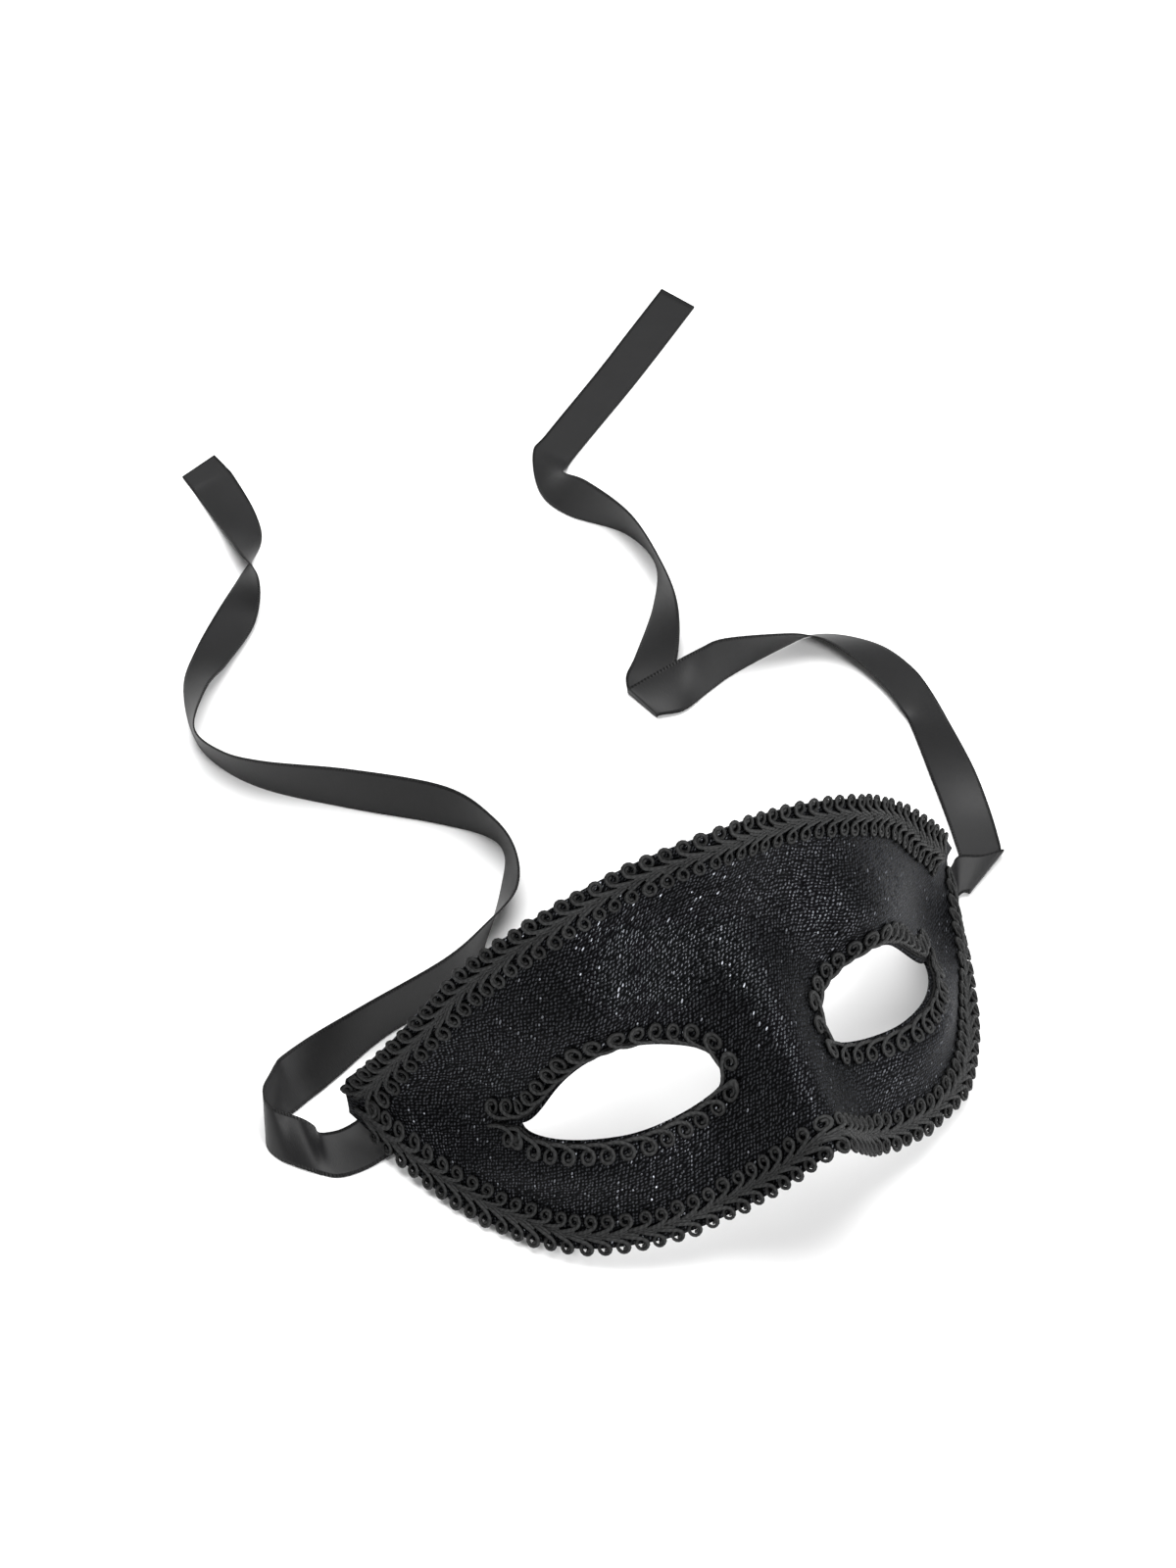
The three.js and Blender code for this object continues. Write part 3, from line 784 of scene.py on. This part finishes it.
def wall(x, t):
    """Thickness of the shell, thinner by its cheek and forehead edges and round its eye holes."""
    rim_x, rim_t = eye_outline()
    from_eye = np.hypot(np.abs(x)[:, None] - rim_x, (t[:, None] - rim_t) * PATTERN["height"]).min(-1)
    from_edge = face_height(x) * np.minimum(t, 1 - t)
    share = np.clip(np.minimum(from_edge, from_eye) / FEATHERED, 0, 1)
    return EDGE_WALL + (SHELL_THICKNESS - EDGE_WALL) * share


def mask_shell(knit, lining):
    """Moulded shell under its glued knit, with rounded edges and a plain lining."""
    flat, triangles, counts = shell_pattern()
    x, t = flat.T
    count = len(flat)
    points = [lifted(x, t, 0 * x), lifted(x, t, -wall(x, t))]
    cloth = [cloth_places(x, t)] * 2
    faces = [triangles, triangles[:, ::-1] + count]
    faces = [f.tolist() for block in faces for f in block]
    picks = [0] * len(triangles) + [1] * len(triangles)
    total, start = 2 * count, 0
    for which, n in enumerate(counts):
        ring = np.arange(start, start + n)
        start += n
        rim_x, rim_t = x[ring], t[ring]
        here = face(rim_x, rim_t)
        heading = unit(np.roll(here, -1, axis=0) - np.roll(here, 1, axis=0))
        normal = face_axes(rim_x, rim_t)[2]
        outward = unit(np.cross(heading, normal))
        if which:
            outward = -outward
        depth = wall(rim_x, rim_t)[:, None]
        rings = [ring]
        for out, share in SHELL_RIM:
            points.append(here + depth * (outward * out - normal * share))
            cloth.append(cloth_places(rim_x, rim_t) - depth * [0, share, 0])
            rings.append(total + np.arange(n))
            total += n
        rings.append(ring + count)
        for k, (p, q) in enumerate(zip(rings[:-1], rings[1:])):
            quads = np.stack([p, q, np.roll(q, -1), np.roll(p, -1)], axis=-1)
            if which:
                quads = quads[:, ::-1]
            faces += quads.tolist()
            picks += [0 if k < len(SHELL_RIM) else 1] * n
    points = np.vstack(points)
    points[:, 2] = np.maximum(points[:, 2], 0)
    made = piece("moulded_shell", points, faces, [knit, lining], {"cloth": np.vstack(cloth)}, picks)
    settle(made, "shimmer_knit", "mask_shell")


# Braids

def loop_lines(spec, side=1, shift=0.0):
    """One worked loop in the flat: up its stem, round its head and into a curl, and a second strand.

    Each point has its place, its height and its share of the cord's thickness.
    """
    stem_steps, head_steps = LOOP_STEPS["stem"], LOOP_STEPS["head"]
    middle = np.array([0, spec["head"]])
    half = np.array([spec["wide"], spec["tall"]]) / 2
    meets = np.radians(spec["meets"])
    foot = np.array(spec["foot"])
    joint = middle + half * [np.cos(meets), np.sin(meets)]
    onward = unit(half * [np.sin(meets), -np.cos(meets)])
    bends = np.array([foot, foot + spec["lead"], joint - onward * spec["swing"], joint])
    f = np.arange(stem_steps) / stem_steps
    weights = np.stack([(1 - f) ** 3, 3 * f * (1 - f) ** 2, 3 * f**2 * (1 - f), f**3], axis=-1)
    stem = weights @ bends
    stem_up = np.interp(f, *STEM_HEIGHT)
    stem_thick = np.interp(f, *STEM_THICKNESS)
    g = np.arange(head_steps + 1) / head_steps
    angle = meets - np.radians(LOOP_CURL["turn"]) * g
    curled = np.clip((g - LOOP_CURL["starts"]) / (1 - LOOP_CURL["starts"]), 0, 1)
    drawn_in = 1 - LOOP_CURL["closes_by"] * curled ** LOOP_CURL["power"]
    head = middle + half * drawn_in[:, None] * np.stack([np.cos(angle), np.sin(angle)], axis=-1)
    up = np.append(stem_up, np.interp(g, *HEAD_HEIGHT))
    thick = np.append(stem_thick, np.interp(g, *HEAD_THICKNESS))
    strand = np.column_stack([np.vstack([stem, head]), up, thick])
    beside = np.column_stack([
        stem + SECOND_STRAND["beside"],
        stem_up - SECOND_STRAND["lower"],
        SECOND_STRAND["thickness"] * stem_thick,
    ])
    return [line * [1, side, 1, 1] + [shift, 0, 0, 0] for line in (strand, beside)]


def braid_tree():
    """Node tree that works a row of loops along a straight core cord, and the identifiers of its inputs."""
    tree = bpy.data.node_groups.new("worked braid", "GeometryNodeTree")
    sockets = {}
    for name, kind in (
        ("Geometry", "Geometry"), ("Loops", "Int"), ("Pitch", "Float"), ("Cord Radius", "Float"),
        ("Sides", "Int"), ("Start", "Float"), ("Core", "Vector"), ("Turn", "Float"), ("Spread", "Float"),
        ("Seed", "Int"), ("Cord", "Material"),
    ):
        made = tree.interface.new_socket(name=name, in_out="INPUT", socket_type=f"NodeSocket{kind}")
        sockets[name] = made.identifier
    tree.interface.new_socket(name="Geometry", in_out="OUTPUT", socket_type="NodeSocketGeometry")
    g = Graph(tree)
    entry = tree.nodes.new("NodeGroupInput")
    given = {socket.name: Term(g, socket) for socket in entry.outputs if socket.name}

    def store(geometry, name, value, domain="POINT"):
        settings = {"data_type": "FLOAT", "domain": domain}
        values = {"Geometry": geometry, "Name": name, "Value": value}
        return g.node("GeometryNodeStoreNamedAttribute", settings, values)

    def draw(low, high, offset):
        """Random number for each loop, with a seed of its own."""
        values = {2: low, 3: high, "Seed": given["Seed"] + offset}
        return g.node("FunctionNodeRandomValue", {"data_type": "FLOAT"}, values, 1)

    values = {"Resolution": given["Sides"], "Radius": given["Cord Radius"]}
    ring = g.node("GeometryNodeCurvePrimitiveCircle", {}, values)
    ring = store(ring, "around", g.node("GeometryNodeSplineParameter", {}, {}, "Factor"))
    run = g.node("GeometryNodeSplineParameter", {}, {}, "Length")

    def swept(curve):
        marked = store(curve, "along", run)
        values = {"Curve": marked, "Profile Curve": ring, "Fill Caps": True}
        return g.node("GeometryNodeCurveToMesh", {}, values)

    step = g.join(given["Pitch"], 0.0, 0.0)
    start = g.join(given["Start"], 0.0, 0.0)
    places = g.node("GeometryNodeMeshLine", {"mode": "OFFSET"}, {
        "Count": given["Loops"], "Start Location": start, "Offset": step,
    })
    roll, pitch, yaw = draw(-0.3, 0.3, 3), draw(-0.3, 0.3, 4), draw(-1.0, 1.0, 1)
    turn = g.vector("SCALE", g.join(roll, pitch, yaw), Scale=given["Turn"])
    size = 1 + draw(-1.0, 1.0, 2) * given["Spread"]
    loops = g.node("GeometryNodeInstanceOnPoints", {}, {
        "Points": places,
        "Instance": swept(given["Geometry"]),
        "Rotation": g.node("FunctionNodeEulerToRotation", {}, {0: turn}),
        "Scale": g.join(size, size, 1.0),
    })
    loops = store(loops, "shade", draw(0.0, 1.0, 5), "INSTANCE")
    length = g.join(given["Pitch"] * given["Loops"] + given["Start"] * 2, 0.0, 0.0)
    end = g.vector("ADD", given["Core"], length)
    points_per_loop = 3
    core = g.node("GeometryNodeCurvePrimitiveLine", {}, {"Start": given["Core"], "End": end})
    core = g.node("GeometryNodeResampleCurve", {}, {"Curve": core, "Count": given["Loops"] * points_per_loop})
    joined = tree.nodes.new("GeometryNodeJoinGeometry")
    for part in (swept(core), loops):
        tree.links.new(part.socket, joined.inputs[0])
    whole = g.node("GeometryNodeRealizeInstances", {}, {"Geometry": Term(g, joined.outputs[0])})
    whole = g.node("GeometryNodeSetMaterial", {}, {"Geometry": whole, "Material": given["Cord"]})
    finish = tree.nodes.new("NodeGroupOutput")
    tree.links.new(whole.socket, finish.inputs[0])
    return tree, sockets


def line_object(name, lines):
    """A curve object of open lines in millimetres, each point with its thickness."""
    curve = bpy.data.curves.new(name, "CURVE")
    curve.dimensions = "3D"
    for line in lines:
        spline = curve.splines.new("POLY")
        spline.points.add(len(line) - 1)
        spline.points.foreach_set("co", np.column_stack([line[:, :3], np.ones(len(line))]).ravel())
        spline.points.foreach_set("radius", line[:, 3])
    made = bpy.data.objects.new(name, curve)
    bpy.context.scene.collection.objects.link(made)
    return made


def flat_braid(name, lines, worked, inputs):
    """The braid in the flat, along X from 0, as a plain mesh in millimetres."""
    tree, sockets = worked
    source = line_object(name, lines)
    modifier = source.modifiers.new("worked braid", "NODES")
    modifier.node_group = tree
    for key, value in inputs.items():
        modifier[sockets[key]] = value
    graph = bpy.context.evaluated_depsgraph_get()
    graph.update()
    mesh = bpy.data.meshes.new_from_object(source.evaluated_get(graph), depsgraph=graph)
    curve = source.data
    bpy.data.objects.remove(source)
    bpy.data.curves.remove(curve)
    return mesh


def laid_braid(name, node, mesh, course, middle, mirror=False, turned=False):
    """Lay a flat braid over the face beside a path."""
    flat = np.empty(len(mesh.vertices) * 3)
    mesh.vertices.foreach_get("co", flat)
    along, across, up = flat.reshape(-1, 3).T
    if turned:
        along, across = course.length - along, -across
    x, t, heading = course.at(along)
    x, t = sideways(x, t, heading, middle + across)
    points = lifted(x, t, up)
    # Height of each point as a share of the braid's; the cord's finish turns the low ones dark as painted
    # shade.
    rise = mesh.attributes.new("rise", "FLOAT", "POINT")
    rise.data.foreach_set("value", np.clip(up / BRAID_HEIGHT, 0, 1).astype(np.float32))
    if mirror:
        points[:, 0] *= -1
    points[:, 2] = np.maximum(points[:, 2], BRAID_LOWEST)
    mesh.vertices.foreach_set("co", (points * MM).ravel())
    mesh.update()
    if mirror:
        mesh.flip_normals()
    mesh.shade_smooth()
    mesh.name = name
    made = bpy.data.objects.new(name, mesh)
    bpy.context.scene.collection.objects.link(made)
    settle(made, "gimp_braid", node)


def braids(cord):
    """Both edge braids, with loops on either side, and the two eye edgings, with loops on one."""
    worked = braid_tree()
    edge_lines = loop_lines(EDGE_LOOP) + loop_lines(EDGE_LOOP, -1, LOOP_PITCH / 2)
    for seed, (name, node, path, middle, turned) in enumerate((
        ("forehead_braid", "upper_edge_braid", upper_path, -BAND_MIDDLE, False),
        ("cheek_braid", "lower_edge_braid", lower_path, BAND_MIDDLE, True),
    )):
        course = Course(path)
        room = course.length - FIRST_LOOP - EDGE_LOOP["foot"][0]
        loops = round(room / LOOP_PITCH)
        mesh = flat_braid(name, edge_lines, worked, {
            **CORD, "Cord": cord, "Core": EDGE_LOOP["core"], "Loops": loops, "Pitch": room / loops,
            "Start": FIRST_LOOP, "Seed": BRAID_SEEDS["edge"] + seed,
        })
        laid_braid(name, node, mesh, course, middle, turned=turned)
    course = Course(eye_path)
    loops = round(course.length / LOOP_PITCH)
    eye_lines = loop_lines(EYE_LOOP, -1)[:1]
    for side, node in ((-1, "left_eye_braid"), (1, "right_eye_braid")):
        name = node.replace("_braid", "_edging")
        mesh = flat_braid(name, eye_lines, worked, {
            **CORD, "Cord": cord, "Core": EYE_LOOP["core"], "Loops": loops, "Pitch": course.length / loops,
            "Start": 0.0, "Seed": BRAID_SEEDS["eye"] + side,
        })
        laid_braid(name, node, mesh, course, -RIM_GAP, mirror=side < 0)


# Studio

def studio():
    """Pale floor, even light from all round, and the soft lamps."""
    corners = [(x * FLOOR_HALF, y * FLOOR_HALF, 0) for x, y in ((-1, -1), (1, -1), (1, 1), (-1, 1))]
    floor = piece("floor", corners, [[0, 1, 2, 3]], [material("pale floor", floor_look)])
    world = bpy.data.worlds.new("studio")
    world.use_nodes = True
    background = world.node_tree.nodes["Background"]
    background.inputs["Color"].default_value = (1, 1, 1, 1)
    background.inputs["Strength"].default_value = WORLD_LIGHT
    bpy.context.scene.world = world
    for name, place, size, power in LAMPS:
        lamp = bpy.data.lights.new(name, "AREA")
        lamp.shape = "DISK"
        lamp.size = size
        lamp.energy = power
        made = bpy.data.objects.new(name, lamp)
        made.location = place
        made.rotation_euler = (LAMP_AIM - Vector(place)).to_track_quat("-Z", "Y").to_euler()
        bpy.context.scene.collection.objects.link(made)
    bpy.context.scene.view_settings.view_transform = "Standard"


def camera():
    """Camera at the photo's angle."""
    eye = bpy.data.cameras.new("camera")
    eye.sensor_width = SENSOR_WIDTH
    eye.lens = CAMERA_LENS
    eye.clip_start = NEAREST_SEEN
    made = bpy.data.objects.new("camera", eye)
    made.location = Vector(CAMERA_PLACE) * MM
    made.rotation_euler = Vector(CAMERA_AIM).to_track_quat("-Z", "Y").to_euler()
    bpy.context.scene.collection.objects.link(made)
    bpy.context.scene.camera = made


camera()
satin = material("satin ribbon", satin_look)
ribbon("left_tie", LEFT_RIBBON, satin)
ribbon("right_tie", RIGHT_RIBBON, satin)
mask_shell(material("shimmer knit", knit_look), material("lining", lining_look))
braids(material("braid cord", cord_look))
studio()
